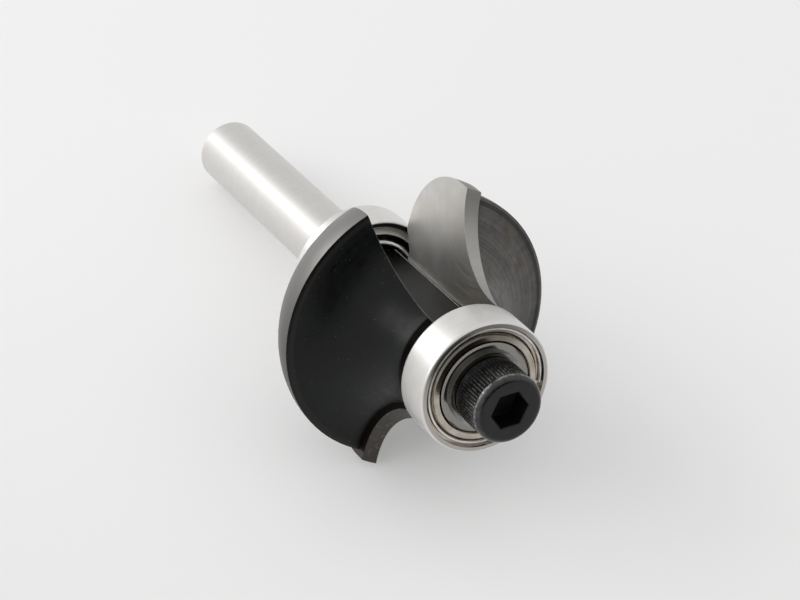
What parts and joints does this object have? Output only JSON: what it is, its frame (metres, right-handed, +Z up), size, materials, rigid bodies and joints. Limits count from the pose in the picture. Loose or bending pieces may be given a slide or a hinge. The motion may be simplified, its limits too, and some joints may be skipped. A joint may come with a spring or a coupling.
{
  "type": "router bit",
  "caption": "Carbide-tipped router bit that cuts a hollow-and-round edge profile, with a guide ball bearing at each end of the cutter and a straight shank.",
  "frame": {"origin": "on the table under the middle of the bounding box of the bit as it lies", "axes": "+Z up from the table, +X towards the tip along the lying bit, +Y to the side; the bit's own axis slopes down towards the shank end"},
  "size_m": [0.0738, 0.033, 0.0314],
  "materials": {
    "coated_steel": "black coating over fine turning marks on the cutter, bright ground steel on the shank",
    "carbide": "ground grey carbide",
    "black_oxide_steel": "black oxide, knurled on the side of the head",
    "zinc_steel": "zinc plated",
    "spring_steel": "oiled spring steel",
    "bearing_steel": "ground and polished",
    "ball_steel": "polished",
    "cage_steel": "pressed steel",
    "shield_steel": "pressed sheet steel, slightly stained",
    "wire_steel": "drawn wire"
  },
  "bodies": {
    "cutter": {"cutter_body": "coated_steel", "carbide_tip_1": "carbide", "carbide_tip_2": "carbide", "pilot_screw": "black_oxide_steel", "screw_washer": "zinc_steel", "shank_snap_ring": "spring_steel", "tip_bearing_inner_ring": "bearing_steel", "shank_bearing_inner_ring": "bearing_steel"},
    "tip_bearing_race": {"tip_bearing_outer_ring": "bearing_steel", "tip_bearing_front_shield": "shield_steel", "tip_bearing_rear_shield": "shield_steel", "tip_bearing_front_snap_wire": "wire_steel", "tip_bearing_rear_snap_wire": "wire_steel"},
    "tip_bearing_ball_train": {"tip_bearing_balls": "ball_steel", "tip_bearing_cage": "cage_steel"},
    "shank_bearing_race": {"shank_bearing_outer_ring": "bearing_steel", "shank_bearing_front_shield": "shield_steel", "shank_bearing_rear_shield": "shield_steel", "shank_bearing_front_snap_wire": "wire_steel", "shank_bearing_rear_snap_wire": "wire_steel"},
    "shank_bearing_ball_train": {"shank_bearing_balls": "ball_steel", "shank_bearing_cage": "cage_steel"}
  },
  "joints": [
    {"name": "tip_bearing_spin", "type": "hinge", "parent": "cutter", "child": "tip_bearing_race", "pos_m": [0.02828, 0, 0.01891], "axis": [-0.9735, 0, -0.2287], "continuous": true},
    {"name": "tip_ball_train_spin", "type": "hinge", "parent": "cutter", "child": "tip_bearing_ball_train", "pos_m": [0.02828, 0, 0.01891], "axis": [-0.9735, 0, -0.2287], "continuous": true},
    {"name": "shank_bearing_spin", "type": "hinge", "parent": "cutter", "child": "shank_bearing_race", "pos_m": [0.0017, 0, 0.01266], "axis": [-0.9735, 0, -0.2287], "continuous": true},
    {"name": "shank_ball_train_spin", "type": "hinge", "parent": "cutter", "child": "shank_bearing_ball_train", "pos_m": [0.0017, 0, 0.01266], "axis": [-0.9735, 0, -0.2287], "continuous": true}
  ],
  "couplings": [
    {"joint": "tip_ball_train_spin", "follows": "tip_bearing_spin", "ratio": 0.58167},
    {"joint": "shank_ball_train_spin", "follows": "shank_bearing_spin", "ratio": 0.58167}
  ]
}
